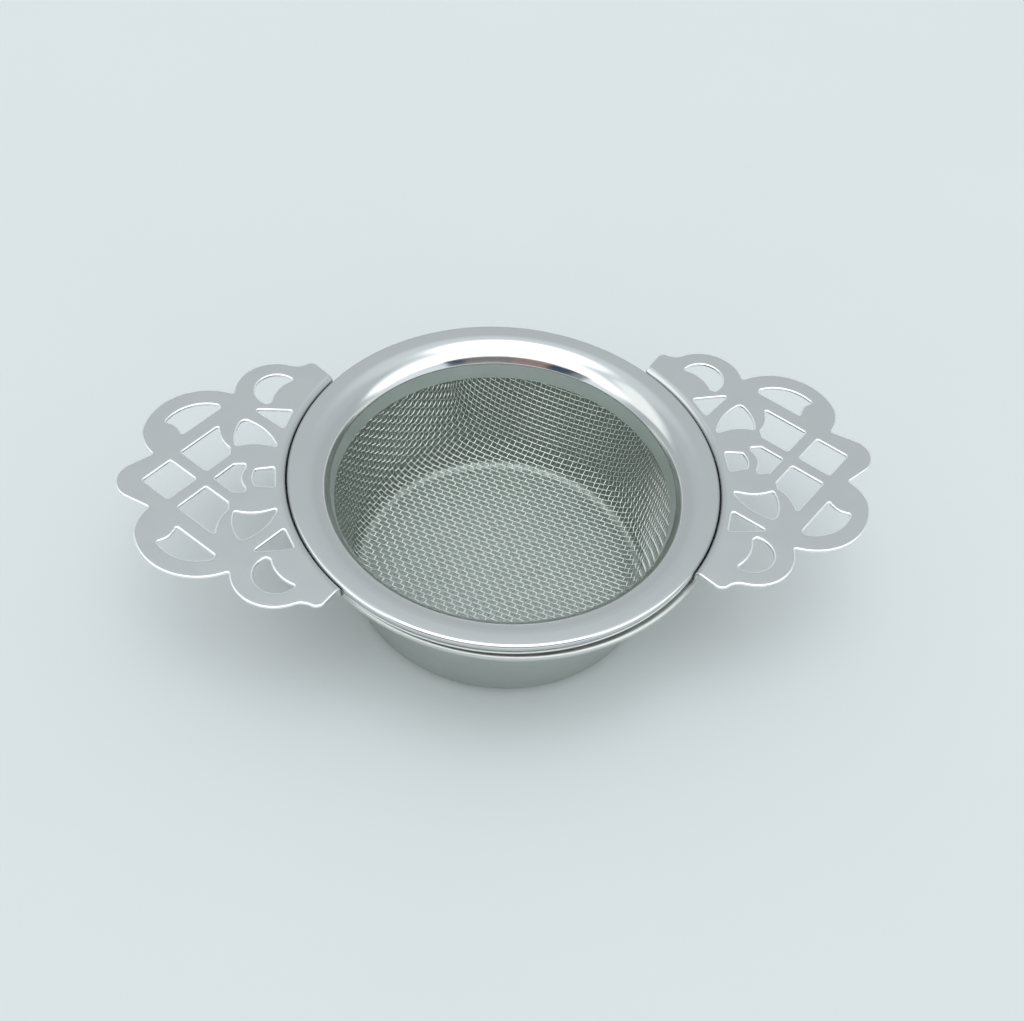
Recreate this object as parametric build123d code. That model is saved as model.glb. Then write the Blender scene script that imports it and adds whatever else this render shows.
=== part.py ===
from build123d import *
import os
from math import radians, tan

# Tea strainer with two pierced wing handles, resting on its own drip bowl.
#
# Frame: millimetres, +Z up, origin on the standing surface under the centre of the
# strainer, +X along the wings. The strainer lifts straight up off the bowl.
# Every formed sheet is drawn as a centre line in the (radius, height) half plane,
# thickened, and revolved about Z. The wings are cut from such a sheet by a blank,
# which is drawn flat and pierced before it is used.

# ---- driving dimensions -------------------------------------------------------
SHEET = 0.5  # pressed stainless sheet of rim, wings and bowl
CLAMP_SHEET = 0.4  # thinner sheet of the ring under the rim
MESH_THICKNESS = 0.44  # two wires of the woven cloth on top of each other

RIM_TOP_Z = 28.3  # flat top face of the rim above the table
RIM_OUTER_R = 38.0
BEAD_R = 0.7  # outside radius of the rim's rolled edge
RIM_SHOULDER_R = 32.67  # where the flat top would meet the slope if it were sharp
RIM_SHOULDER_BEND_R = 4.95  # so the top dishes gently towards the basket
LIP = (30.92, 25.02)  # corner between slope and collar
LIP_BEND_R = 0.6
COLLAR_FOOT = (30.24, 22.14)
RIM_ROLL_SWEEP = 205  # degrees of the rolled edge

CLAMP_OUTER_R = 37.8
CLAMP_GAP = 0.35  # under the rim's rolled edge
CLAMP_SHOULDER_R = 32.85
CLAMP_SHOULDER_BEND_R = 0.8
CLAMP_WAIST = (31.7, 24.3)
CLAMP_WAIST_BEND_R = 1.0
CLAMP_FOOT = (31.17, 21.9)

BASKET_TOP = (31.25, 24.35)
BASKET_WAIST = (30.7, 22.0)
BASKET_WAIST_BEND_R = 3.0
BASKET_FLOOR_EDGE = (26.2, 6.5)
BASKET_FLOOR_Z = 5.6
BASKET_CORNER_R = 4.0

WING_ROOT_R = 34.6  # inner edge of the wing's root, under the clamp ring
WING_GAP = 0.02
WING_WALL_R = 38.35  # foot of the wall that steps the sheet up beside the rim
WING_WALL_LEAN = 0.06
WING_FOOT_BEND_R = 0.45
WING_TOP_BEND_R = 1.0
WING_TOP_Z = 28.58  # top face beside the rim, without the bend
WING_RISE = 1.1  # degrees, the wings tip slightly up outwards
WING_TIP_R = 66.6
WING_SHEET_TURN = 100  # degrees of formed sheet that one wing is cut from
WING_TRIM = 3  # sheet beyond the blank all round
HOLE_CORNER_R = 0.45

BOWL_SHIFT_X = 0.8  # the strainer sits loosely, a little off the bowl's centre
BOWL_SEAT_GAP = 0.5  # the cone of the clamp ring sits in the bowl's mouth
BOWL_FLANGE_R = 38.0
BOWL_BEAD_R = 0.57
BOWL_BASE_R = 27.45  # wall outside, run down to the table
BOWL_MOUTH_R = 33.65  # wall outside, run up to the flange
BOWL_CORNER_R = 2.25
BOWL_BEND_R = 2.2  # from wall into flange
BOWL_HEM_SWEEP = 170  # degrees of the hemmed edge

# ---- heights of the stacked flanges, from the rim downwards ----------------------
HALF = SHEET / 2
RIM_FLAT_Z = RIM_TOP_Z - HALF
BEAD_Z = RIM_TOP_Z - BEAD_R
CLAMP_Z = RIM_TOP_Z - 2 * BEAD_R - CLAMP_GAP - CLAMP_SHEET / 2
WING_ROOT_Z = CLAMP_Z - CLAMP_SHEET / 2 - WING_GAP - HALF
BOWL_FLANGE_Z = WING_ROOT_Z - HALF - BOWL_SEAT_GAP - HALF
BOWL_BEAD_Z = BOWL_FLANGE_Z + HALF - BOWL_BEAD_R


# ---- formed sheets ---------------------------------------------------------------
def sheet_section(edges, thickness):
    """Face of a sheet of this thickness about a centre line, with rounded ends."""
    return make_face(offset(Wire(edges), thickness / 2).edges())


def revolved_sheet(edges, thickness):
    """Full turn of a sheet about Z; a centre line may end on the axis."""
    reach = 2 * RIM_OUTER_R
    half_plane = Pos(reach / 2, 0) * Rectangle(reach, 2 * reach)
    return revolve(Plane.XZ * (sheet_section(edges, thickness) & half_plane), Axis.Z)


def rolled_edge(outer_r, bead_z, bead_r, sweep):
    """Centre line of a rolled edge, which starts at the top of the roll."""
    return CenterArc((outer_r - bead_r, bead_z), bead_r - HALF, 90 - sweep, sweep)


def rim_ring():
    """Top ring: rolled edge, flat top, slope, and collar down into the basket."""
    body = FilletPolyline(
        (RIM_OUTER_R - BEAD_R, RIM_FLAT_Z),
        (RIM_SHOULDER_R, RIM_FLAT_Z),
        LIP,
        COLLAR_FOOT,
        radius=[RIM_SHOULDER_BEND_R, LIP_BEND_R],
    )
    bead = rolled_edge(RIM_OUTER_R, BEAD_Z, BEAD_R, RIM_ROLL_SWEEP)
    return revolved_sheet([bead] + list(body.edges()), SHEET)


def clamp_ring():
    """Ring under the rim that pinches the mesh against the rim's collar."""
    body = FilletPolyline(
        (CLAMP_OUTER_R - CLAMP_SHEET / 2, CLAMP_Z),
        (CLAMP_SHOULDER_R, CLAMP_Z),
        CLAMP_WAIST,
        CLAMP_FOOT,
        radius=[CLAMP_SHOULDER_BEND_R, CLAMP_WAIST_BEND_R],
    )
    return revolved_sheet(list(body.edges()), CLAMP_SHEET)


def mesh_basket():
    """Pressed woven basket as one thin shell, gripped at its top edge."""
    body = FilletPolyline(
        BASKET_TOP,
        BASKET_WAIST,
        BASKET_FLOOR_EDGE,
        (0, BASKET_FLOOR_Z),
        radius=[BASKET_WAIST_BEND_R, BASKET_CORNER_R],
    )
    return revolved_sheet(list(body.edges()), MESH_THICKNESS)


def drip_bowl():
    """Drawn bowl: flat base, leaning wall, flange and hemmed edge."""
    wall_lean = (BOWL_MOUTH_R - BOWL_BASE_R) / BOWL_FLANGE_Z
    inset = HALF * (1 + wall_lean**2) ** 0.5
    body = FilletPolyline(
        (0, HALF),
        (BOWL_BASE_R - inset + HALF * wall_lean, HALF),
        (BOWL_MOUTH_R - inset, BOWL_FLANGE_Z),
        (BOWL_FLANGE_R - BOWL_BEAD_R, BOWL_FLANGE_Z),
        radius=[BOWL_CORNER_R, BOWL_BEND_R],
    )
    bead = rolled_edge(BOWL_FLANGE_R, BOWL_BEAD_Z, BOWL_BEAD_R, BOWL_HEM_SWEEP)
    return Pos(BOWL_SHIFT_X, 0, 0) * revolved_sheet(list(body.edges()) + [bead], SHEET)


# ---- pierced wings ---------------------------------------------------------------
def mirrored(shape):
    """The same shape on the other side of the wing's long axis."""
    return mirror(shape, about=Plane.XZ)


def hole(*edges):
    """A hole in the blank with its corners eased."""
    face = make_face(list(edges))
    return fillet(face.vertices(), HOLE_CORNER_R)


def wing_outline():
    """Outside of the stamping: shoulder, inner lobe, outer lobe, notch and tip."""
    shoulder = (26.6, 21.1)
    tangent = (64.75, 3.5)
    half = [
        Line(shoulder, (31.95, 27.45)),
        ThreePointArc((31.95, 27.45), (32.95, 28.2), (34.2, 28.0)),
        ThreePointArc((34.2, 28.0), (35.4, 27.5), (37.0, 27.66)),
        ThreePointArc((37.0, 27.66), (44.5, 26.5), (47.25, 20.5)),
        ThreePointArc((47.25, 20.5), (58.5, 19.35), (62.97, 11.4)),
        ThreePointArc((62.97, 11.4), (62.37, 8.7), (60.75, 6.1)),
        Line((60.75, 6.1), tangent),
    ]
    tip = ThreePointArc(tangent, (WING_TIP_R, 0), (tangent[0], -tangent[1]))
    root = ThreePointArc(shoulder, (WING_ROOT_R, 0), (shoulder[0], -shoulder[1]))
    return make_face(half + [mirrored(edge) for edge in half] + [tip, root])


def paired_holes():
    """Holes beside the wing's long axis; each one has a mirrored twin."""
    square = hole(
        Polyline((47.75, 7.2), (47.75, 5.55), (51.5, 1.8), (56.0, 6.3), (49.5, 12.8)),
        ThreePointArc((49.5, 12.8), (49.4, 9.95), (47.75, 7.2)),
    )
    fan = hole(
        ThreePointArc((39.5, 6.95), (41.5, 11.0), (44.5, 13.6)),
        ThreePointArc((44.5, 13.6), (45.3, 13.8), (45.95, 13.3)),
        ThreePointArc((45.95, 13.3), (46.8, 10.6), (46.65, 7.5)),
        ThreePointArc((46.65, 7.5), (43.2, 8.05), (39.5, 6.95)),
    )
    triangle = hole(Polyline((36.8, 16.05), (43.6, 16.5), (38.4, 11.6), close=True))
    crescent = hole(
        ThreePointArc((36.6, 23.85), (42.35, 24.1), (41.4, 17.8)),
        Line((41.4, 17.8), (40.65, 18.2)),
        ThreePointArc((40.65, 18.2), (39.3, 21.6), (36.6, 23.85)),
    )
    petal = hole(
        Line((49.6, 16.95), (50.0, 17.75)),
        ThreePointArc((50.0, 17.75), (55.4, 17.3), (59.1, 13.6)),
        ThreePointArc((59.1, 13.6), (57.1, 12.6), (56.2, 10.35)),
        Line((56.2, 10.35), (49.6, 16.95)),
    )
    return [square, fan, triangle, crescent, petal]


def centre_holes():
    """Holes that lie across the wing's long axis."""
    diamond = hole(Polyline((62.15, 0), (57.7, 4.45), (53.25, 0), (57.7, -4.45), close=True))
    gem = hole(
        Polyline((45.0, 2.2), (44.9, 3.2), (46.95, 3.2), (50.15, 0)),
        Polyline((50.15, 0), (46.95, -3.2), (44.9, -3.2), (45.0, -2.2)),
        ThreePointArc((45.0, -2.2), (45.7, 0), (45.0, 2.2)),
    )
    pane = hole(
        Polyline((43.2, 1.9), (40.0, 2.3), (40.0, -2.3), (43.2, -1.9)),
        ThreePointArc((43.2, -1.9), (43.65, 0), (43.2, 1.9)),
    )
    return [diamond, gem, pane]


def pierced_blank():
    """Flat pattern of one wing that points along +X."""
    blank = wing_outline()
    for opening in paired_holes():
        blank = blank - opening - mirrored(opening)
    for opening in centre_holes():
        blank = blank - opening
    return blank


def wing_sheet():
    """Sheet the wing is cut from: flat root, step up past the rim, rising wing."""
    wall_top = (WING_WALL_R + WING_WALL_LEAN, WING_TOP_Z - HALF)
    outer_r = WING_TIP_R + WING_TRIM
    outer_z = wall_top[1] + (outer_r - wall_top[0]) * tan(radians(WING_RISE))
    line = FilletPolyline(
        (WING_ROOT_R - WING_TRIM, WING_ROOT_Z),
        (WING_WALL_R, WING_ROOT_Z),
        wall_top,
        (outer_r, outer_z),
        radius=[WING_FOOT_BEND_R, WING_TOP_BEND_R],
    )
    section = Plane.XZ * sheet_section(list(line.edges()), SHEET)
    return Rot(0, 0, -WING_SHEET_TURN / 2) * revolve(section, Axis.Z, WING_SHEET_TURN)


def right_handle():
    sheet = wing_sheet()
    low, high = sheet.bounding_box().min.Z, sheet.bounding_box().max.Z
    cutter = extrude(Pos(0, 0, low - WING_TRIM) * pierced_blank(), high - low + 2 * WING_TRIM)
    return sheet & cutter


def left_handle():
    return Rot(0, 0, 180) * right_handle()


def main():
    os.makedirs("parts", exist_ok=True)
    for make in (rim_ring, clamp_ring, mesh_basket, right_handle, left_handle, drip_bowl):
        export_step(make(), f"parts/{make.__name__}.step")


if __name__ == "__main__":
    main()
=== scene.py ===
from math import acos, ceil, cos, pi, radians, sin, tan

import bmesh
import bpy
import numpy as np
from mathutils import Matrix, Vector
from mathutils.geometry import delaunay_2d_cdt

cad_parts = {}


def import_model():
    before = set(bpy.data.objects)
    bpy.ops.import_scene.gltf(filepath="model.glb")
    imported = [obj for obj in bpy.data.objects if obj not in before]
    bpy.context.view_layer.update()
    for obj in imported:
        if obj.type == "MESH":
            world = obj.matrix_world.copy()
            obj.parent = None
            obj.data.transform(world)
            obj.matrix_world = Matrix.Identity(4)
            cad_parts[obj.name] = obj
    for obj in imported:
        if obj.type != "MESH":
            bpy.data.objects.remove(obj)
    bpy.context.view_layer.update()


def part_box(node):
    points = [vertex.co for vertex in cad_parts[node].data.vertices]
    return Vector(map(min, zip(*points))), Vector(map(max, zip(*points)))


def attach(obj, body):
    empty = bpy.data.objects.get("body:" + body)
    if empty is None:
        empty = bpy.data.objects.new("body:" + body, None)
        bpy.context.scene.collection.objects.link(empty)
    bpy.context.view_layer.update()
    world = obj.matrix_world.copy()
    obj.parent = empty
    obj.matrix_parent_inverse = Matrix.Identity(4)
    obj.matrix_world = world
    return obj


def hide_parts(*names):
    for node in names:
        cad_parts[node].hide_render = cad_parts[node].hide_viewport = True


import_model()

MM = 0.001

# ---- the part's own dimensions, in millimetres ----------------------------------
SHEET = 0.5
CLAMP_SHEET = 0.4

RIM_TOP_Z = 28.3
RIM_OUTER_R = 38.0
RIM_BEAD_R = 0.7
RIM_ROLL = (-115, 90)  # degrees round the rolled edge, from its lip to the flat top
RIM_SHOULDER_R = 32.67
RIM_LIP = (30.92, 25.02)
COLLAR_FOOT = (30.24, 22.14)
RIM_BENDS = (4.95, 0.6)

CLAMP_GAP = 0.35  # under the rim's rolled edge
CLAMP_EDGE_R = 37.6
CLAMP_SHOULDER_R = 32.85
CLAMP_WAIST = (31.7, 24.3)
CLAMP_FOOT = (31.17, 21.9)
CLAMP_BENDS = (0.8, 1.0)

BASKET_PROFILE = [(0, 5.6), (26.2, 6.5), (30.7, 22.0), (31.25, 24.35)]
BASKET_BENDS = (4.0, 3.0)

BOWL_SHIFT_X = 0.8
BOWL_BASE_R = 27.45  # wall outside, run down to the table
BOWL_MOUTH_R = 33.65  # wall outside, run up to the flange
BOWL_BENDS = (2.25, 2.2)
BOWL_FLANGE_R = 38.0
BOWL_FLANGE_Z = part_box("drip_bowl")[1].z / MM - SHEET / 2
BOWL_BEAD_R = 0.57
BOWL_HEM = (90, -80)  # degrees round the hemmed edge

# ---- woven cloth ------------------------------------------------------------------
PITCH = 1.02
WIRE_R = 0.095
# Share of the crimp taken by the straighter warp and by the weft.
WARP_CRIMP, WEFT_CRIMP = 0.35, 1.65
WIRE_SIDES = 6
STEPS_PER_PITCH = 3
WARP_ANGLE = radians(-28.7)
WEFT_ANGLE = radians(54.5)
WIRES_EACH_SIDE = 46  # of the middle wire, before the net is cut off at the basket's top
NET_MARGIN = 4.0  # the net is solved this far past the basket's top

TURNS = 360  # segments round a spun part

# ---- stamped wings ----------------------------------------------------------------
WING_ROOT_R = 34.6
WING_WALL_R = 38.35
WING_WALL_LEAN = 0.06
WING_TOP_Z = 28.58
WING_RISE = radians(1.1)
WING_TIP_R = 66.6
WING_GAP = 0.02  # between the root and the clamp ring above it
WING_BENDS = (0.45, 1.0)
WING_TRIM = 3  # sheet beyond the blank, inside and outside
OUTLINE_CORNER_R = 0.4
HOLE_CORNER_R = 0.45
EDGE_STEP = 0.25  # longest side of the developed outlines
# Stamping draws the upper edge down: how far in it starts, and how deep it goes.
DIE_ROLL = (0.25, 0.2)
BURR_EDGE = (0.06, 0.06)
BRIGHT_EDGE_R = 38.9  # the cut edge outside this radius is painted as a highlight; the root's cut edge, in shade under the rim, is not


# ---- spun parts -------------------------------------------------------------------
def arc_points(centre, radius, start, stop, step=4.0):
    """Points and directions along an arc; angles in degrees."""
    n = max(2, ceil(abs(stop - start) / step) + 1)
    a = np.radians(np.linspace(start, stop, n))
    way = 1 if stop > start else -1
    points = np.stack([centre[0] + radius * np.cos(a), centre[1] + radius * np.sin(a)], 1)
    return points, way * np.stack([-np.sin(a), np.cos(a)], 1)


def filleted(corners, radii, spacing=1.0):
    """Points and directions along a polyline whose inner corners are rounded."""
    corners = [np.array(c, float) for c in corners]
    points, directions = [], []
    start = corners[0]

    def straight(a, b):
        n = max(2, ceil(np.linalg.norm(b - a) / spacing) + 1)
        t = np.linspace(0, 1, n)[:, None]
        points.append(a + t * (b - a))
        directions.append(np.repeat([(b - a) / np.linalg.norm(b - a)], n, 0))

    for before, corner, after, radius in zip(corners, corners[1:], corners[2:], radii):
        u = (corner - before) / np.linalg.norm(corner - before)
        v = (after - corner) / np.linalg.norm(after - corner)
        turn = acos(max(-1.0, min(1.0, float(u @ v))))
        left = 1 if u[0] * v[1] - u[1] * v[0] > 0 else -1
        cut = radius * tan(turn / 2)
        tangent = corner - cut * u
        straight(start, tangent)
        normal = left * np.array([-u[1], u[0]])
        centre = tangent + radius * normal
        first = np.degrees(np.arctan2(*(tangent - centre)[::-1]))
        arc, along = arc_points(centre, radius, first, first + left * np.degrees(turn), 3.0)
        points.append(arc)
        directions.append(along)
        start = corner + cut * v
    straight(start, corners[-1])
    return np.concatenate(points), np.concatenate(directions)


def joined(*runs):
    """Several runs of points and directions as one, without repeated points."""
    points = np.concatenate([r[0] for r in runs])
    directions = np.concatenate([r[1] for r in runs])
    keep = np.concatenate([[True], np.linalg.norm(np.diff(points, axis=0), axis=1) > 1e-5])
    return points[keep], directions[keep]


def sheet_outline(run, thickness):
    """Outline of a sheet about its centre line, with rounded ends off the axis."""
    points, directions = run
    normals = np.stack([-directions[:, 1], directions[:, 0]], 1)
    half = thickness / 2

    def cap(i, sign):
        if points[i][0] < 1e-6:
            return np.zeros((0, 2))
        a = np.radians(np.linspace(90, -90, 9)[1:-1])[:, None]
        return points[i] + half * (np.cos(a) * directions[i] * sign + np.sin(a) * normals[i] * sign)

    left, right = points + half * normals, points - half * normals
    return np.concatenate([left, cap(-1, 1), right[::-1], cap(0, -1)])


def new_piece(name, mesh, body, slot, *nodes):
    """An object that rides on a body and stands for CAD nodes."""
    piece = bpy.data.objects.new(name, mesh)
    bpy.context.scene.collection.objects.link(piece)
    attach(piece, body)
    if nodes:
        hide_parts(*nodes)
    return piece


def mesh_of(name, verts, faces, smooth=True):
    mesh = bpy.data.meshes.new(name)
    mesh.from_pydata(np.asarray(verts).tolist(), [], faces)
    mesh.polygons.foreach_set("use_smooth", [smooth] * len(mesh.polygons))
    mesh.update()
    return mesh


def spun(name, run, thickness, body, slot, node, centre_x=0.0):
    """A sheet part of revolution that stands for one CAD node."""
    outline = sheet_outline(run, thickness) * MM
    n = len(outline)
    a = np.linspace(0, 2 * pi, TURNS, endpoint=False)
    ring = np.stack(
        [
            np.outer(np.cos(a), outline[:, 0]) + centre_x * MM,
            np.outer(np.sin(a), outline[:, 0]),
            np.outer(np.ones(TURNS), outline[:, 1]),
        ],
        2,
    ).reshape(-1, 3)
    i, j = np.meshgrid(np.arange(TURNS), np.arange(n), indexing="ij")
    i2, j2 = (i + 1) % TURNS, (j + 1) % n
    faces = np.stack([i * n + j, i2 * n + j, i2 * n + j2, i * n + j2], 2).reshape(-1, 4)
    mesh = mesh_of(name, ring, faces.tolist())
    bm = bmesh.new()
    bm.from_mesh(mesh)
    bmesh.ops.remove_doubles(bm, verts=bm.verts, dist=1e-7)
    bmesh.ops.recalc_face_normals(bm, faces=bm.faces)
    bm.to_mesh(mesh)
    bm.free()
    return new_piece(name, mesh, body, slot, node)


def rim_run():
    """Centre line of the rim, from the rolled edge in over the top and down the collar."""
    bead_x, bead_z = RIM_OUTER_R - RIM_BEAD_R, RIM_TOP_Z - RIM_BEAD_R
    flat_z = RIM_TOP_Z - SHEET / 2
    roll = arc_points((bead_x, bead_z), RIM_BEAD_R - SHEET / 2, *RIM_ROLL)
    corners = [(bead_x, flat_z), (RIM_SHOULDER_R, flat_z), RIM_LIP, COLLAR_FOOT]
    return joined(roll, filleted(corners, RIM_BENDS))


def clamp_run():
    """Centre line of the ring under the rim."""
    z = RIM_TOP_Z - 2 * RIM_BEAD_R - CLAMP_GAP - CLAMP_SHEET / 2
    corners = [(CLAMP_EDGE_R, z), (CLAMP_SHOULDER_R, z), CLAMP_WAIST, CLAMP_FOOT]
    return filleted(corners, CLAMP_BENDS)


def bowl_run():
    """Centre line of the bowl, from the middle of its base out to the hem."""
    lean = (BOWL_MOUTH_R - BOWL_BASE_R) / BOWL_FLANGE_Z
    inset = SHEET / 2 * (1 + lean**2) ** 0.5
    bead_x = BOWL_FLANGE_R - BOWL_BEAD_R
    body = filleted(
        [
            (0, SHEET / 2),
            (BOWL_BASE_R - inset + SHEET / 2 * lean, SHEET / 2),
            (BOWL_MOUTH_R - inset, BOWL_FLANGE_Z),
            (bead_x, BOWL_FLANGE_Z),
        ],
        BOWL_BENDS,
    )
    bead_z = BOWL_FLANGE_Z + SHEET / 2 - BOWL_BEAD_R
    hem = arc_points((bead_x, bead_z), BOWL_BEAD_R - SHEET / 2, *BOWL_HEM)
    return joined(body, hem)


# ---- woven basket -----------------------------------------------------------------
class Basket:
    """The cloth's middle surface, by distance along its profile and angle."""

    def __init__(self):
        points, directions = filleted(BASKET_PROFILE, BASKET_BENDS, spacing=0.25)
        beyond = points[-1] + NET_MARGIN * directions[-1]
        points = np.concatenate([points, [beyond]])
        directions = np.concatenate([directions, directions[-1:]])
        keep = np.concatenate([[True], np.linalg.norm(np.diff(points, axis=0), axis=1) > 1e-6])
        self.points, self.directions = points[keep], directions[keep]
        steps = np.linalg.norm(np.diff(self.points, axis=0), axis=1)
        self.s = np.concatenate([[0], np.cumsum(steps)])
        self.top = self.s[-1] - NET_MARGIN
        self.net_edge = self.s[-1] - 1.0

    def at(self, s, angle):
        """Place, directions along and across the profile, and normal."""
        r, z = (np.interp(s, self.s, self.points[:, k]) for k in (0, 1))
        dr, dz = (np.interp(s, self.s, self.directions[:, k]) for k in (0, 1))
        c, q = np.cos(angle), np.sin(angle)
        place = np.stack([r * c, r * q, z], -1)
        along = np.stack([dr * c, dr * q, dz], -1)
        across = np.stack([-r * q, r * c, 0 * r], -1)
        normal = np.stack([-dz * c, -dz * q, dr], -1)
        return place, along, across, normal

    def nearest(self, p):
        """Distance along the profile, and angle, nearest to each point."""
        r, z = np.hypot(p[:, 0], p[:, 1]), p[:, 2]
        fine = np.linspace(0, self.s[-1], 2400)
        fr, fz = (np.interp(fine, self.s, self.points[:, k]) for k in (0, 1))
        best = np.argmin((r[:, None] - fr) ** 2 + (z[:, None] - fz) ** 2, axis=1)
        return fine[best], np.arctan2(p[:, 1], p[:, 0])

    def meridian(self, angle, count):
        """Crossings one pitch apart, straight out from the centre; NaN past the top."""
        out, s = [0.0], 0.0
        for _ in range(count):
            here = self.at(np.array([s]), angle)[0]
            low, high = s, s + 1.5 * PITCH
            for _ in range(30):
                mid = (low + high) / 2
                far = np.linalg.norm(self.at(np.array([mid]), angle)[0] - here) > PITCH
                low, high = (low, mid) if far else (mid, high)
            s = (low + high) / 2
            out.append(s if s < self.net_edge else np.nan)
        return np.array(out)

    def quadrant(self, angle_a, angle_b, count):
        """Crossings [i, j] of a net of inextensible wires between two straight ones."""
        s = np.full((count + 1, count + 1), np.nan)
        angle = np.full_like(s, np.nan)
        s[:, 0], s[0, :] = self.meridian(angle_a, count), self.meridian(angle_b, count)
        angle[:, 0], angle[0, :] = angle_a, angle_b
        # One diagonal of crossings at a time: each is a pitch from two that are known.
        for total in range(2, 2 * count):
            i = np.arange(max(1, total - count), min(count, total - 1) + 1)
            j = total - i
            a, b, c = (
                self.at(s[m, n], angle[m, n])[0] for m, n in ((i - 1, j), (i, j - 1), (i - 1, j - 1))
            )
            good = ~np.isnan(a[:, 0] + b[:, 0] + c[:, 0])
            if not good.any():
                continue
            a, b, c, i, j = a[good], b[good], c[good], i[good], j[good]
            sx, fx = self.nearest(a + b - c)
            for _ in range(8):
                p, along, across, _ = self.at(sx, fx)
                f = np.stack([((p - q) ** 2).sum(1) - PITCH**2 for q in (a, b)], 1)
                jac = np.stack(
                    [np.stack([2 * ((p - q) * d).sum(1) for d in (along, across)], 1) for q in (a, b)], 1
                )
                step = np.linalg.solve(jac, f[:, :, None])[:, :, 0]
                sx = sx - np.clip(step[:, 0], -0.3, 0.3)
                fx = fx - np.clip(step[:, 1], -0.1, 0.1)
            fine = (np.abs(f).max(1) < 1e-3) & (sx < self.net_edge) & (sx > 0)
            s[i[fine], j[fine]], angle[i[fine], j[fine]] = sx[fine], fx[fine]
        return s, angle


def dented(p, normal):
    """The pressing's irregular dents round the edge of the floor and in the wall."""
    r, a = np.hypot(p[:, 0], p[:, 1]), np.arctan2(p[:, 1], p[:, 0])
    edge = np.exp(-(((r - 25.5) / 2.2) ** 2))
    lumps = 0.5 * np.sin(5 * a + 0.6) + 0.35 * np.sin(9 * a + 2.1) + 0.25 * np.sin(14 * a + 4.0)
    floor = np.exp(-((r / 17) ** 4)) * 0.10 * np.sin(0.21 * p[:, 0] + 1.0) * np.cos(0.17 * p[:, 1])
    return p + normal * (0.22 * edge * lumps + floor)[:, None]


def smooth_through(points):
    """STEPS_PER_PITCH samples per span of a Catmull-Rom curve through the points."""
    padded = np.concatenate([[2 * points[0] - points[1]], points, [2 * points[-1] - points[-2]]])
    p0, p1, p2, p3 = (padded[k : k + len(points) - 1, None] for k in range(4))
    t = np.linspace(0, 1, STEPS_PER_PITCH, endpoint=False)[None, :, None]
    curve = 0.5 * (
        2 * p1 + (p2 - p0) * t + (2 * p0 - 5 * p1 + 4 * p2 - p3) * t**2 + (3 * p1 - p0 - 3 * p2 + p3) * t**3
    )
    return np.concatenate([curve.reshape(-1, points.shape[1]), points[-1:]])


def tube(path, normal, radius):
    """Vertices and faces of a closed tube along a path."""
    along = np.gradient(path, axis=0)
    along /= np.linalg.norm(along, axis=1)[:, None]
    side = np.cross(along, normal)
    side /= np.linalg.norm(side, axis=1)[:, None]
    up = np.cross(side, along)
    a = (np.arange(WIRE_SIDES) + 0.5) / WIRE_SIDES * 2 * pi
    ring = radius * (np.cos(a)[None, :, None] * side[:, None] + np.sin(a)[None, :, None] * up[:, None])
    verts = (path[:, None] + ring).reshape(-1, 3)
    n, k = len(path), WIRE_SIDES
    i, j = np.meshgrid(np.arange(n - 1), np.arange(k), indexing="ij")
    j2 = (j + 1) % k
    quads = np.stack([i * k + j, i * k + j2, (i + 1) * k + j2, (i + 1) * k + j], 2).reshape(-1, 4)
    ends = [list(range(k))[::-1], [(n - 1) * k + m for m in range(k)]]
    return verts, quads, ends


def net(basket, count):
    """Every crossing of the cloth: distance along the profile and angle, [i, j]."""
    size = 2 * count + 1
    s, angle = np.full((size, size), np.nan), np.full((size, size), np.nan)
    for si, sj in ((1, 1), (-1, 1), (-1, -1), (1, -1)):
        a = WARP_ANGLE + (0 if si > 0 else pi)
        b = WEFT_ANGLE + (0 if sj > 0 else pi)
        qs, qa = basket.quadrant(a, b, count)
        i, j = count + si * np.arange(count + 1), count + sj * np.arange(count + 1)
        s[np.ix_(i, j)], angle[np.ix_(i, j)] = qs, qa
    return s, angle


def weave(basket, s, angle, direction, parity):
    """Every second wire of one direction, as one mesh; direction 0 is the warp."""
    count = (len(s) - 1) // 2
    verts, faces, base = [], [], 0
    for line in range(-count, count + 1):
        if line % 2 != parity:
            continue
        k = count + line
        ss, aa = (s[:, k], angle[:, k]) if direction == 0 else (s[k, :], angle[k, :])
        if np.isnan(ss[count]):
            continue
        lo = hi = count
        while lo > 0 and not np.isnan(ss[lo - 1]):
            lo -= 1
        while hi < 2 * count and not np.isnan(ss[hi + 1]):
            hi += 1
        if hi - lo < 3:
            continue
        place, _, _, normal = basket.at(ss[lo : hi + 1], aa[lo : hi + 1])
        index = np.arange(lo, hi + 1) - count
        data = smooth_through(np.concatenate([place, normal, ss[lo : hi + 1, None]], 1))
        path, nrm, along_s = data[:, :3], data[:, 3:6], data[:, 6]
        nrm /= np.linalg.norm(nrm, axis=1)[:, None]
        t = np.linspace(index[0], index[-1], len(path))
        crimp = WARP_CRIMP if direction == 0 else -WEFT_CRIMP
        wave = crimp * np.cos(pi * (t + line)) * WIRE_R
        path = dented(path, nrm) + nrm * wave[:, None]
        inside = np.flatnonzero(along_s <= basket.top)
        if len(inside) < 6:
            continue
        path, nrm = path[inside[0] : inside[-1] + 1], nrm[inside[0] : inside[-1] + 1]
        v, quads, ends = tube(path, nrm, WIRE_R)
        verts.append(v)
        faces += (quads + base).tolist() + [[base + m for m in e] for e in ends]
        base += len(v)
    return np.concatenate(verts) * MM, faces


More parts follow.
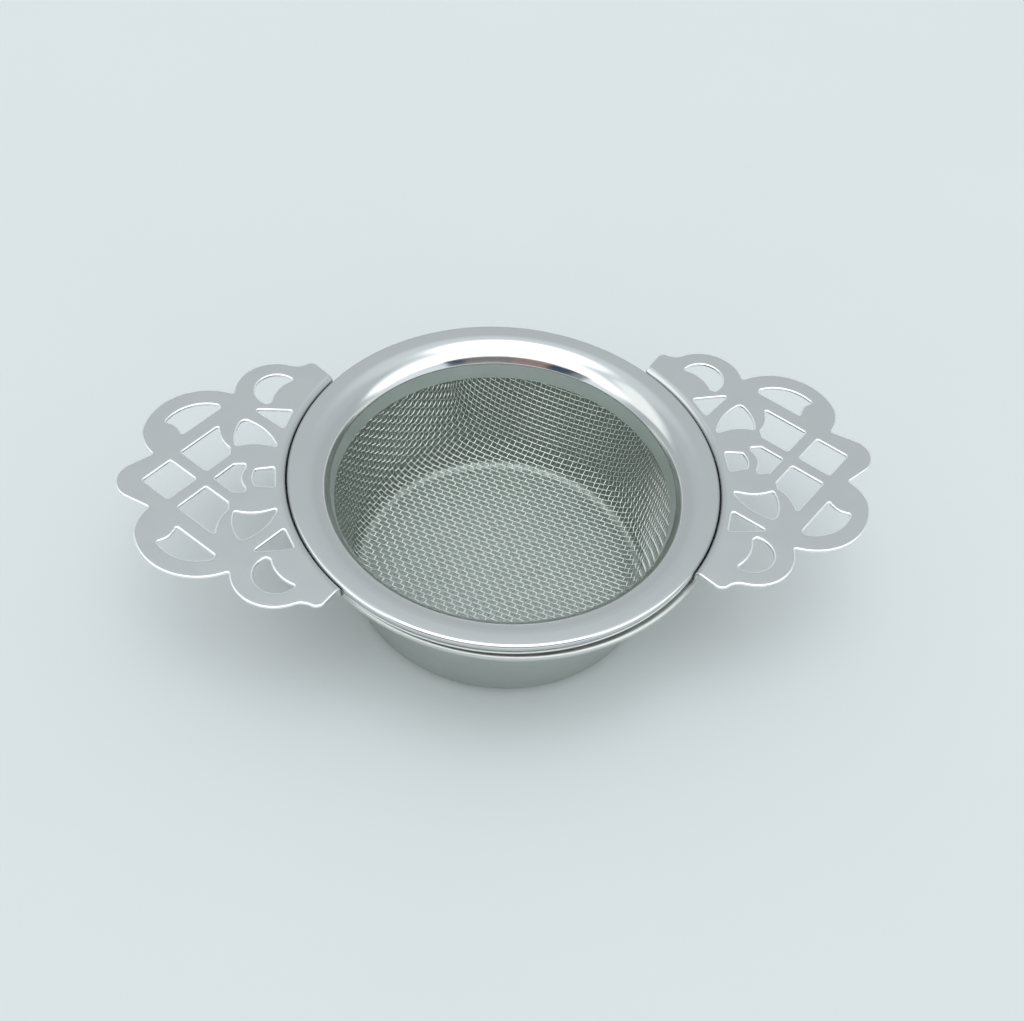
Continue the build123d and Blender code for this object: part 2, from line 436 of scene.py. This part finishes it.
# ---- stamped wings ----------------------------------------------------------------
# The outside from the shoulder to the tip, as lines (2 points) and arcs (3 points).
HALF_OUTLINE = [
    [(26.6, 21.1), (31.95, 27.45)],
    [(31.95, 27.45), (32.95, 28.2), (34.2, 28.0)],
    [(34.2, 28.0), (35.4, 27.5), (37.0, 27.66)],
    [(37.0, 27.66), (44.5, 26.5), (47.25, 20.5)],
    [(47.25, 20.5), (58.5, 19.35), (62.97, 11.4)],
    [(62.97, 11.4), (62.37, 8.7), (60.75, 6.1)],
    [(60.75, 6.1), (64.75, 3.5)],
]
TIP = [[(64.75, 3.5), (WING_TIP_R, 0), (64.75, -3.5)]]
ROOT = [[(26.6, -21.1), (WING_ROOT_R, 0), (26.6, 21.1)]]
PAIRED_HOLES = [
    [
        [(47.75, 7.2), (47.75, 5.55)],
        [(47.75, 5.55), (51.5, 1.8)],
        [(51.5, 1.8), (56.0, 6.3)],
        [(56.0, 6.3), (49.5, 12.8)],
        [(49.5, 12.8), (49.4, 9.95), (47.75, 7.2)],
    ],
    [
        [(39.5, 6.95), (41.5, 11.0), (44.5, 13.6)],
        [(44.5, 13.6), (45.3, 13.8), (45.95, 13.3)],
        [(45.95, 13.3), (46.8, 10.6), (46.65, 7.5)],
        [(46.65, 7.5), (43.2, 8.05), (39.5, 6.95)],
    ],
    [[(36.8, 16.05), (43.6, 16.5)], [(43.6, 16.5), (38.4, 11.6)], [(38.4, 11.6), (36.8, 16.05)]],
    [
        [(36.6, 23.85), (42.35, 24.1), (41.4, 17.8)],
        [(41.4, 17.8), (40.65, 18.2)],
        [(40.65, 18.2), (39.3, 21.6), (36.6, 23.85)],
    ],
    [
        [(49.6, 16.95), (50.0, 17.75)],
        [(50.0, 17.75), (55.4, 17.3), (59.1, 13.6)],
        [(59.1, 13.6), (57.1, 12.6), (56.2, 10.35)],
        [(56.2, 10.35), (49.6, 16.95)],
    ],
]
CENTRE_HOLES = [
    [
        [(62.15, 0), (57.7, 4.45)],
        [(57.7, 4.45), (53.25, 0)],
        [(53.25, 0), (57.7, -4.45)],
        [(57.7, -4.45), (62.15, 0)],
    ],
    [
        [(45.0, 2.2), (44.9, 3.2)],
        [(44.9, 3.2), (46.95, 3.2)],
        [(46.95, 3.2), (50.15, 0)],
        [(50.15, 0), (46.95, -3.2)],
        [(46.95, -3.2), (44.9, -3.2)],
        [(44.9, -3.2), (45.0, -2.2)],
        [(45.0, -2.2), (45.7, 0), (45.0, 2.2)],
    ],
    [
        [(43.2, 1.9), (40.0, 2.3)],
        [(40.0, 2.3), (40.0, -2.3)],
        [(40.0, -2.3), (43.2, -1.9)],
        [(43.2, -1.9), (43.65, 0), (43.2, 1.9)],
    ],
]


def side_points(side, spacing=0.2):
    """Points along a line, or along the arc through three points, without the last."""
    side = [complex(*p) for p in side]
    if len(side) == 2:
        n = max(1, ceil(abs(side[1] - side[0]) / spacing))
        p = side[0] + (side[1] - side[0]) * np.arange(n) / n
    else:
        a, m, b = side
        w = (b - a) / (m - a)
        centre = (m - a) * (w - abs(w) ** 2) / (2j * w.imag) + a
        start = np.angle(a - centre)
        turn = np.angle((b - centre) / (a - centre)) % (2 * pi)
        if ((b - m) / (m - a)).imag < 0:
            turn -= 2 * pi
        n = max(2, ceil(abs(turn) * abs(a - centre) / spacing))
        p = centre + abs(a - centre) * np.exp(1j * (start + turn * np.arange(n) / n))
    return np.stack([p.real, p.imag], 1)


def loop_points(sides, radius):
    """A closed loop of points, counter-clockwise, with its corners rounded."""
    runs = [side_points(side) for side in sides]
    lengths = [np.linalg.norm(np.diff(run, axis=0), axis=1).sum() + 0.2 for run in runs]
    out = []
    for k, run in enumerate(runs):
        following = runs[(k + 1) % len(runs)]
        u = following[0] - run[-1]
        ahead = following[1] if len(following) > 1 else runs[(k + 2) % len(runs)][0]
        v = ahead - following[0]
        u, v = u / np.linalg.norm(u), v / np.linalg.norm(v)
        turned = acos(max(-1.0, min(1.0, float(u @ v))))
        cut = 0.0
        if radius and turned > radians(12):
            cut = min(radius * tan(turned / 2), 0.42 * min(lengths[k], lengths[(k + 1) % len(runs)]))
        out.append((following[0], u, v, cut))
    points = []
    for k, run in enumerate(runs):
        before, after = out[k - 1], out[k]
        far = np.linalg.norm(run - before[0], axis=1) > before[3] * 1.1 + 0.01
        far &= np.linalg.norm(run - after[0], axis=1) > after[3] * 1.1 + 0.01
        if not before[3]:
            far[0] = True
        points += list(run[far])
        corner, u, v, cut = after
        if cut:
            t = np.linspace(0, 1, 8)[:, None]
            a, b = corner - u * cut, corner + v * cut
            points += list((1 - t) ** 2 * a + 2 * t * (1 - t) * corner + t**2 * b)
    points = np.array(points)
    area = np.sum(points[:, 0] * np.roll(points[:, 1], -1) - points[:, 1] * np.roll(points[:, 0], -1))
    return points if area > 0 else points[::-1]


def mirrored(sides):
    """Sides on the other side of the wing's middle line."""
    return [[(x, -y) for x, y in side] for side in sides]


def reversed_sides(sides):
    """The same sides, run through the other way."""
    return [side[::-1] for side in sides[::-1]]


def wing_loops():
    """The wing's outside counter-clockwise and its holes clockwise, in plan."""
    half = HALF_OUTLINE
    outside = loop_points(half + TIP + reversed_sides(mirrored(half)) + ROOT, OUTLINE_CORNER_R)
    holes = [loop_points(h, HOLE_CORNER_R) for h in PAIRED_HOLES + CENTRE_HOLES]
    holes += [loop_points(mirrored(h), HOLE_CORNER_R) for h in PAIRED_HOLES]
    return outside, [h[::-1] for h in holes]


class WingSheet:
    """The formed sheet, flattened: plan radius to developed radius and back."""

    def __init__(self):
        root_z = RIM_TOP_Z - 2 * RIM_BEAD_R - CLAMP_GAP - CLAMP_SHEET - WING_GAP - SHEET / 2
        top = (WING_WALL_R + WING_WALL_LEAN, WING_TOP_Z - SHEET / 2)
        outer_r = WING_TIP_R + WING_TRIM
        outer = (outer_r, top[1] + (outer_r - top[0]) * tan(WING_RISE))
        corners = [(WING_ROOT_R - WING_TRIM, root_z), (WING_WALL_R, root_z), top, outer]
        self.points, self.directions = joined(filleted(corners, WING_BENDS, spacing=0.5))
        steps = np.linalg.norm(np.diff(self.points, axis=0), axis=1)
        self.s = self.points[0, 0] + np.concatenate([[0], np.cumsum(steps)])

    def flatten(self, loop):
        """A plan loop in the developed plane, with no side longer than EDGE_STEP."""
        r, a = np.hypot(*loop.T), np.arctan2(loop[:, 1], loop[:, 0])
        s = np.interp(r, self.points[:, 0], self.s)
        flat = np.stack([s * np.cos(a), s * np.sin(a)], 1)
        out = []
        for p, q in zip(flat, np.roll(flat, -1, 0)):
            n = max(1, ceil(np.linalg.norm(q - p) / EDGE_STEP))
            out.append(p + (q - p) * (np.arange(n) / n)[:, None])
        return np.concatenate(out)

    def formed(self, flat, height):
        """Where points of the developed plane end up, height above the middle surface."""
        s, a = np.hypot(*flat.T), np.arctan2(flat[:, 1], flat[:, 0])
        r, z = (np.interp(s, self.s, self.points[:, k]) for k in (0, 1))
        dr, dz = (np.interp(s, self.s, self.directions[:, k]) for k in (0, 1))
        length = np.hypot(dr, dz)
        r, z = r - height * dz / length, z + height * dr / length
        return np.stack([r * np.cos(a), r * np.sin(a), z], 1)


def inward(loop, distance):
    """A loop moved into the sheet; the sheet lies to the left of its direction."""
    before, after = loop - np.roll(loop, 1, 0), np.roll(loop, -1, 0) - loop
    before /= np.linalg.norm(before, axis=1)[:, None]
    after /= np.linalg.norm(after, axis=1)[:, None]
    n1 = np.stack([-before[:, 1], before[:, 0]], 1)
    n2 = np.stack([-after[:, 1], after[:, 0]], 1)
    mid = n1 + n2
    mid /= np.linalg.norm(mid, axis=1)[:, None]
    return loop + mid * (distance / np.maximum(0.5, (mid * n1).sum(1)))[:, None]


def inside(points, loops):
    """Even-odd test against all the loops together."""
    hit = np.zeros(len(points), bool)
    for loop in loops:
        a, b = loop, np.roll(loop, -1, 0)
        for (x1, y1), (x2, y2) in zip(a, b):
            if y1 == y2:
                continue
            across = (points[:, 1] > min(y1, y2)) & (points[:, 1] <= max(y1, y2))
            x = x1 + (points[:, 1] - y1) * (x2 - x1) / (y2 - y1)
            hit ^= across & (points[:, 0] < x)
    return hit


def wing_grid(sheet, loops):
    """Points inside the sheet: a coarse lattice, and a fine polar one in the bends."""
    bend_end = np.interp(WING_WALL_R + 2.2, sheet.points[:, 0], sheet.s)
    bend_start = np.interp(WING_WALL_R - 0.8, sheet.points[:, 0], sheet.s)
    x, y = np.meshgrid(np.arange(26, 72, 0.7), np.arange(-30, 30, 0.6))
    x = x + 0.35 * (np.arange(len(x)) % 2)[:, None]
    coarse = np.stack([x.ravel(), y.ravel()], 1)
    r = np.hypot(*coarse.T)
    coarse = coarse[(r > bend_end) | (r < bend_start)]
    s, a = np.meshgrid(np.arange(bend_start, bend_end, 0.12), np.radians(np.arange(-50, 50, 0.75)))
    fine = np.stack([(s * np.cos(a)).ravel(), (s * np.sin(a)).ravel()], 1)
    points = np.concatenate([coarse, fine])
    points = points[inside(points, loops)]
    edge = np.concatenate(loops)
    near = np.array([np.min(np.sum((edge - p) ** 2, 1)) for p in points])
    return points[near > 0.16**2]


def wing_mesh(name, turn):
    """One pierced wing with a face top and bottom and rounded cut edges."""
    sheet = WingSheet()
    outside, holes = wing_loops()
    loops = [sheet.flatten(loop) for loop in [outside] + holes]
    caps = [inward(loop, DIE_ROLL[0]) for loop in loops]
    grid = wing_grid(sheet, caps)
    flat = np.concatenate(caps + [grid])
    edges, start = [], 0
    for cap in caps:
        n = len(cap)
        edges += [(start + i, start + (i + 1) % n) for i in range(n)]
        start += n
    found = delaunay_2d_cdt([Vector(p) for p in flat.tolist()], edges, [], 0, 1e-6)
    where = np.array([tuple(p) for p in found[0]])
    triangles = np.array([f for f in found[2] if len(f) == 3])
    triangles = triangles[inside(where[triangles].mean(1), caps)]
    assert len(where) == len(flat), "the wing's loops cross"
    half = SHEET / 2
    count = len(where)
    below = where.copy()
    first = 0
    for loop in loops:
        below[first : first + len(loop)] = inward(loop, BURR_EDGE[0])
        first += len(loop)
    verts = [sheet.formed(where, half), sheet.formed(below, -half)]
    faces = triangles.tolist() + (triangles[:, ::-1] + count).tolist()
    cut_faces = len(faces)
    base, first = 2 * count, 0
    rounds = [
        (DIE_ROLL[0] * (1 - sin(t)), half - DIE_ROLL[1] * (1 - cos(t)))
        for t in np.radians([15, 30, 45, 60, 75, 90])
    ]
    rounds += [
        (BURR_EDGE[0] * (1 - sin(t)), BURR_EDGE[1] * (1 - cos(t)) - half) for t in np.radians([90, 60, 30])
    ]
    for loop in loops:
        n = len(loop)
        rings = [first + np.arange(n)]
        for distance, height in rounds:
            verts.append(sheet.formed(inward(loop, distance), height))
            rings.append(base + np.arange(n))
            base += n
        rings.append(count + first + np.arange(n))
        first += n
        for upper, lower in zip(rings, rings[1:]):
            quads = np.stack([upper, lower, np.roll(lower, -1), np.roll(upper, -1)], 1)
            faces += quads.tolist()
    turned = np.concatenate(verts) * MM @ np.array(Matrix.Rotation(turn, 3, "Z")).T
    mesh = mesh_of(name, turned, faces)
    radius = np.hypot(turned[:, 0], turned[:, 1]) / MM
    # Cut faces outside BRIGHT_EDGE_R get the near-white painted highlight; those in shade under the rim
    # keep the satin steel.
    bright = [int(k >= cut_faces and radius[face[0]] > BRIGHT_EDGE_R) for k, face in enumerate(faces)]
    mesh.polygons.foreach_set("material_index", bright)
    return mesh


def wing(name, node, turn):
    """A wing that stands for one CAD node; its normals keep the flat faces flat."""
    piece = new_piece(name, wing_mesh(name, turn), "strainer", "wing_steel", node)
    flat = piece.modifiers.new("flat_faces", "WEIGHTED_NORMAL")
    flat.weight = 100
    return piece


# ---- materials --------------------------------------------------------------------
# Noise features per metre.
TONE_SCALE, ROUGHNESS_SCALE, SPINNING_SCALE = 45.0, 220.0, 2600.0


class Nodes:
    """Short names for building one node tree."""

    def __init__(self, owner):
        owner.use_nodes = True
        self.tree = owner.node_tree
        self.tree.nodes.clear()

    def add(self, kind, **values):
        node = self.tree.nodes.new(kind)
        for key, value in values.items():
            setattr(node, key, value)
        return node

    def put(self, socket, value):
        """Link an output, or set a value."""
        if isinstance(value, bpy.types.NodeSocket):
            self.tree.links.new(value, socket)
        else:
            socket.default_value = value

    def maths(self, operation, a, b=0.0):
        node = self.add("ShaderNodeMath", operation=operation)
        self.put(node.inputs[0], a)
        self.put(node.inputs[1], b)
        return node.outputs[0]

    def noise(self, vector, scale, detail=3.0):
        node = self.add("ShaderNodeTexNoise")
        self.put(node.inputs["Vector"], vector)
        node.inputs["Scale"].default_value = scale
        node.inputs["Detail"].default_value = detail
        return node.outputs["Fac"]

    def spread(self, value, low, high, start=0.0, stop=1.0, smooth=False):
        """Low to high as the value goes from start to stop."""
        node = self.add("ShaderNodeMapRange")
        if smooth:
            node.interpolation_type = "SMOOTHSTEP"
        self.put(node.inputs["Value"], value)
        for key, number in (("From Min", start), ("From Max", stop), ("To Min", low), ("To Max", high)):
            node.inputs[key].default_value = number
        return node.outputs["Result"]

    def mix(self, factor, a, b):
        node = self.add("ShaderNodeMix", data_type="RGBA")
        self.put(node.inputs[0], factor)
        self.put(node.inputs[6], a)
        self.put(node.inputs[7], b)
        return node.outputs[2]


def rgb(r, g, b):
    """A colour for a socket."""
    return (r, g, b, 1.0)


def steel(name, dark, light, roughness, grain, bump, spun_marks=0.0, zone=None):
    """Stainless sheet: slight tone and roughness changes, fine grain, spinning marks.

    A zone is (from z, to z, colour, roughness), in millimetres, for a part
    whose colour and roughness change with height: a rougher collar on the rim,
    a painted highlight on the bowl's lip, less painted shade on the bowl's base.
    """
    material = bpy.data.materials.new(name)
    n = Nodes(material)
    out = n.add("ShaderNodeOutputMaterial")
    bsdf = n.add("ShaderNodeBsdfPrincipled")
    n.put(out.inputs["Surface"], bsdf.outputs[0])
    bsdf.inputs["Metallic"].default_value = 1.0
    where = n.add("ShaderNodeTexCoord").outputs["Object"]
    parts = n.add("ShaderNodeSeparateXYZ")
    n.put(parts.inputs[0], where)
    tone = n.mix(n.noise(where, TONE_SCALE, 4.0), dark, light)
    patches = n.noise(where, ROUGHNESS_SCALE, 4.0)
    rough = n.spread(patches, roughness * 0.85, roughness * 1.15, 0.3, 0.7)
    if zone:
        start, stop, colour, zone_roughness = zone
        share = n.spread(parts.outputs["Z"], 0.0, 1.0, start * MM, stop * MM, smooth=True)
        tone = n.mix(share, tone, colour)
        rough = n.maths("ADD", rough, n.maths("MULTIPLY", share, zone_roughness - roughness))
    n.put(bsdf.inputs["Base Color"], tone)
    n.put(bsdf.inputs["Roughness"], rough)
    height = n.noise(where, grain, 2.0)
    if spun_marks:
        x2 = n.maths("MULTIPLY", parts.outputs["X"], parts.outputs["X"])
        y2 = n.maths("MULTIPLY", parts.outputs["Y"], parts.outputs["Y"])
        radius = n.maths("SQRT", n.maths("ADD", x2, y2))
        rings = n.add("ShaderNodeCombineXYZ")
        n.put(rings.inputs[0], radius)
        n.put(rings.inputs[1], parts.outputs["Z"])
        lines = n.noise(rings.outputs[0], SPINNING_SCALE, 2.0)
        height = n.maths("ADD", height, n.maths("MULTIPLY", lines, spun_marks))
    relief = n.add("ShaderNodeBump")
    relief.inputs["Strength"].default_value = bump
    relief.inputs["Distance"].default_value = 0.0001
    n.put(relief.inputs["Height"], height)
    n.put(bsdf.inputs["Normal"], relief.outputs[0])
    return material


def dress(piece, *materials):
    """Give a piece its materials; faces keep their index into them."""
    index = [p.material_index for p in piece.data.polygons]
    piece.data.materials.clear()
    for material in materials:
        piece.data.materials.append(material)
    piece.data.polygons.foreach_set("material_index", index)


def mark_inside(piece):
    """Material 1, the inside's painted shade, for the faces of a bowl that look up or towards its axis."""
    for face in piece.data.polygons:
        x, y, z = face.center / MM
        inwards = -(face.normal.x * (x - BOWL_SHIFT_X) + face.normal.y * y)
        if z < BOWL_FLANGE_Z - 1.0 and (face.normal.z > 0.05 or inwards > 5.0):
            face.material_index = 1


# ---- build ------------------------------------------------------------------------
rim = spun("rim", rim_run(), SHEET, "strainer", "polished_rim", "rim_ring")
clamp = spun("clamp", clamp_run(), CLAMP_SHEET, "strainer", "clamp_steel", "clamp_ring")
bowl = spun("bowl", bowl_run(), SHEET, "drip_bowl", "bowl_steel", "drip_bowl", BOWL_SHIFT_X)
right_wing = wing("right_wing", "right_handle", 0.0)
left_wing = wing("left_wing", "left_handle", pi)

basket = Basket()
crossings = net(basket, WIRES_EACH_SIDE)
cloth = []
for name, direction, parity in (
    ("warp_wires_a", 0, 0),
    ("warp_wires_b", 0, 1),
    ("weft_wires_a", 1, 0),
    ("weft_wires_b", 1, 1),
):
    verts, faces = weave(basket, *crossings, direction, parity)
    cloth.append(new_piece(name, mesh_of(name, verts, faces), "strainer", "woven_mesh", "mesh_basket"))

collar_finish = (25.1, 24.8, rgb(0.63, 0.68, 0.66), 0.42)
# The bowl's flange and hem, above 24.4 mm, are painted lighter and made rougher than its wall: a painted
# highlight.
lip_highlight = (23.6, 24.4, rgb(0.56, 0.575, 0.555), 0.42)
polished = steel(
    "polished_steel", rgb(0.60, 0.61, 0.61), rgb(0.66, 0.67, 0.67), 0.13, 500.0, 0.05, 0.3, collar_finish
)
plain = steel("ring_steel", rgb(0.62, 0.64, 0.63), rgb(0.70, 0.72, 0.71), 0.6, 800.0, 0.1, 0.3)
satin = steel("satin_steel", rgb(0.61, 0.62, 0.62), rgb(0.66, 0.67, 0.67), 0.22, 1500.0, 0.1)
# The cut edges are painted near white: a painted highlight on the burnished shear.
cut = steel("highlit_cut_steel", rgb(0.88, 0.90, 0.90), rgb(0.96, 0.97, 0.97), 0.3, 1500.0, 0.1)
drawn = steel(
    "drawn_steel", rgb(0.47, 0.51, 0.49), rgb(0.54, 0.58, 0.56), 0.33, 600.0, 0.08, 0.4, lip_highlight
)
# The bowl's inside is painted darker than its outside, as painted shade under the basket; its base, below
# 0.8 mm, is painted lighter, with less of that shade.
less_shaded_base = (1.4, 0.8, rgb(0.47, 0.505, 0.48), 0.5)
shaded_inner = steel(
    "shaded_inner_steel", rgb(0.29, 0.335, 0.30), rgb(0.35, 0.395, 0.36), 0.5, 600.0, 0.1, 0.4, less_shaded_base
)
wire = steel("wire_steel", rgb(0.62, 0.65, 0.625), rgb(0.76, 0.79, 0.765), 0.15, 1500.0, 0.05)
dress(rim, polished)
dress(clamp, plain)
mark_inside(bowl)
dress(bowl, drawn, shaded_inner)
for piece in (right_wing, left_wing):
    dress(piece, satin, cut)
for piece in cloth:
    dress(piece, wire)


# ---- studio -----------------------------------------------------------------------
FLOOR_HALF = 3.0
SKY_WHITE = rgb(0.96, 1.0, 1.0)


def floor():
    """A plain pale board."""
    half = FLOOR_HALF
    corners = np.array([(-half, -half, 0), (half, -half, 0), (half, half, 0), (-half, half, 0)])
    mesh = mesh_of("floor", corners, [[0, 1, 2, 3]])
    piece = bpy.data.objects.new("floor", mesh)
    bpy.context.scene.collection.objects.link(piece)
    material = bpy.data.materials.new("pale_board")
    n = Nodes(material)
    out = n.add("ShaderNodeOutputMaterial")
    bsdf = n.add("ShaderNodeBsdfPrincipled")
    n.put(out.inputs["Surface"], bsdf.outputs[0])
    where = n.add("ShaderNodeTexCoord").outputs["Object"]
    n.put(
        bsdf.inputs["Base Color"],
        n.mix(n.noise(where, 14.0, 4.0), rgb(0.717, 0.732, 0.727), rgb(0.737, 0.752, 0.747)),
    )
    bsdf.inputs["Roughness"].default_value = 0.7
    bsdf.inputs["Specular IOR Level"].default_value = 0.0
    dress(piece, material)


def world():
    """A pale room with a broad soft ceiling light, a little to the front of overhead."""
    made = bpy.data.worlds.new("studio")
    bpy.context.scene.world = made
    n = Nodes(made)
    out = n.add("ShaderNodeOutputWorld")
    back = n.add("ShaderNodeBackground")
    n.put(out.inputs["Surface"], back.outputs[0])
    way = n.add("ShaderNodeTexCoord").outputs["Generated"]
    lean = radians(8)
    axis = Vector((-0.03, -sin(lean), cos(lean))).normalized()
    dot = n.add("ShaderNodeVectorMath", operation="DOT_PRODUCT")
    n.put(dot.inputs[0], way)
    dot.inputs[1].default_value = axis
    ceiling = n.spread(dot.outputs["Value"], 0.0, 2.2, cos(radians(28)), cos(radians(5)), smooth=True)
    parts = n.add("ShaderNodeSeparateXYZ")
    n.put(parts.inputs[0], way)
    low = n.spread(parts.outputs["Z"], 0.66, 0.72, 0.45, 0.70, smooth=True)
    high = n.spread(parts.outputs["Z"], 0.0, 0.22, 0.74, 0.89, smooth=True)
    horizon = n.maths(
        "MULTIPLY",
        n.spread(parts.outputs["Y"], 0.0, 0.5, 0.1, -0.6, smooth=True),
        n.spread(parts.outputs["Z"], 1.0, 0.0, 0.20, 0.50, smooth=True),
    )
    room = n.maths("ADD", n.maths("ADD", low, high), horizon)
    n.put(back.inputs["Strength"], n.maths("ADD", ceiling, room))
    back.inputs["Color"].default_value = rgb(0.93, 1.0, 1.03)


def reflected_card(name, corners, colour, strength=1.0, fade=0.0):
    """A card behind the camera that shows only in the steel; fade softens its ends and top."""
    mesh = mesh_of(name, np.array(corners, float), [[0, 1, 2, 3]], smooth=False)
    piece = bpy.data.objects.new(name, mesh)
    bpy.context.scene.collection.objects.link(piece)
    piece.visible_camera = False
    piece.visible_diffuse = False
    piece.visible_shadow = False
    material = bpy.data.materials.new(name)
    n = Nodes(material)
    out = n.add("ShaderNodeOutputMaterial")
    glow = n.add("ShaderNodeEmission")
    glow.inputs["Color"].default_value = colour
    glow.inputs["Strength"].default_value = strength
    if fade:
        parts = n.add("ShaderNodeSeparateXYZ")
        n.put(parts.inputs[0], n.add("ShaderNodeTexCoord").outputs["Generated"])
        from_left = n.spread(parts.outputs["X"], 0.0, 1.0, 0.0, fade, smooth=True)
        from_right = n.spread(parts.outputs["X"], 0.0, 1.0, 1.0, 1.0 - fade, smooth=True)
        from_top = n.spread(parts.outputs["Z"], 0.0, 1.0, 1.0, 1.0 - fade, smooth=True)
        share = n.maths("MULTIPLY", n.maths("MULTIPLY", from_left, from_right), from_top)
        soft = n.add("ShaderNodeMixShader")
        n.put(soft.inputs[0], share)
        n.put(soft.inputs[1], n.add("ShaderNodeBsdfTransparent").outputs[0])
        n.put(soft.inputs[2], glow.outputs[0])
        glow = soft
    n.put(out.inputs["Surface"], glow.outputs[0])
    dress(piece, material)


def photographer():
    """Whoever takes the picture: dark clothes, seen as a coloured strip in the rim."""
    strips = [
        (0.175, 0.108, rgb(0.03, 0.06, 0.11)),
        (0.108, -0.040, rgb(0.25, 0.235, 0.225)),
        (-0.040, -0.157, rgb(0.38, 0.26, 0.24)),
        (-0.157, -0.268, rgb(0.025, 0.055, 0.10)),
        (-0.268, -0.354, rgb(0.30, 0.32, 0.32)),
    ]
    low, high = (-0.30, 0.108), (-0.22, 0.213)
    for k, (x1, x2, colour) in enumerate(strips):
        reflected_card(f"clothes_{k}", [(x1, *low), (x2, *low), (x2, *high), (x1, *high)], colour)


def camera():
    """The view: 10.7 degrees round, 48.9 degrees up, rolled 5.9 degrees."""
    yaw, lift, roll = radians(10.66), radians(48.85), radians(5.91)
    turn = Matrix.Rotation(yaw, 3, "Z")
    axes = Matrix(((1, 0, 0), (0, -sin(lift), -cos(lift)), (0, cos(lift), -sin(lift))))
    tilt = Matrix(((cos(roll), -sin(roll), 0), (sin(roll), cos(roll), 0), (0, 0, 1)))
    right, down, ahead = tilt @ axes @ turn
    place = Matrix((right, -down, -ahead)).transposed().to_4x4()
    place.translation = Vector((-0.02925, -0.16567, 0.21029))
    data = bpy.data.cameras.new("camera")
    data.sensor_width = 36.0
    data.lens = 49.62
    data.clip_start = 0.01
    made = bpy.data.objects.new("camera", data)
    bpy.context.scene.collection.objects.link(made)
    made.matrix_world = place
    bpy.context.scene.camera = made


floor()
world()
camera()
bpy.context.scene.view_settings.view_transform = "Standard"
photographer()
reflected_card(
    "white_card",
    [(-1.15, -0.25, 0.21), (1.15, -0.27, 0.14), (1.15, -0.01, 0.34), (-1.15, -0.01, 0.34)],
    SKY_WHITE,
    strength=2.0,
    fade=0.3,
)
reflected_card(
    "left_window",
    [(-0.70, -0.17, 0.20), (-0.38, 0.30, 0.20), (-0.38, 0.30, 1.10), (-0.70, -0.17, 1.10)],
    SKY_WHITE,
    strength=1.4,
    fade=0.3,
)
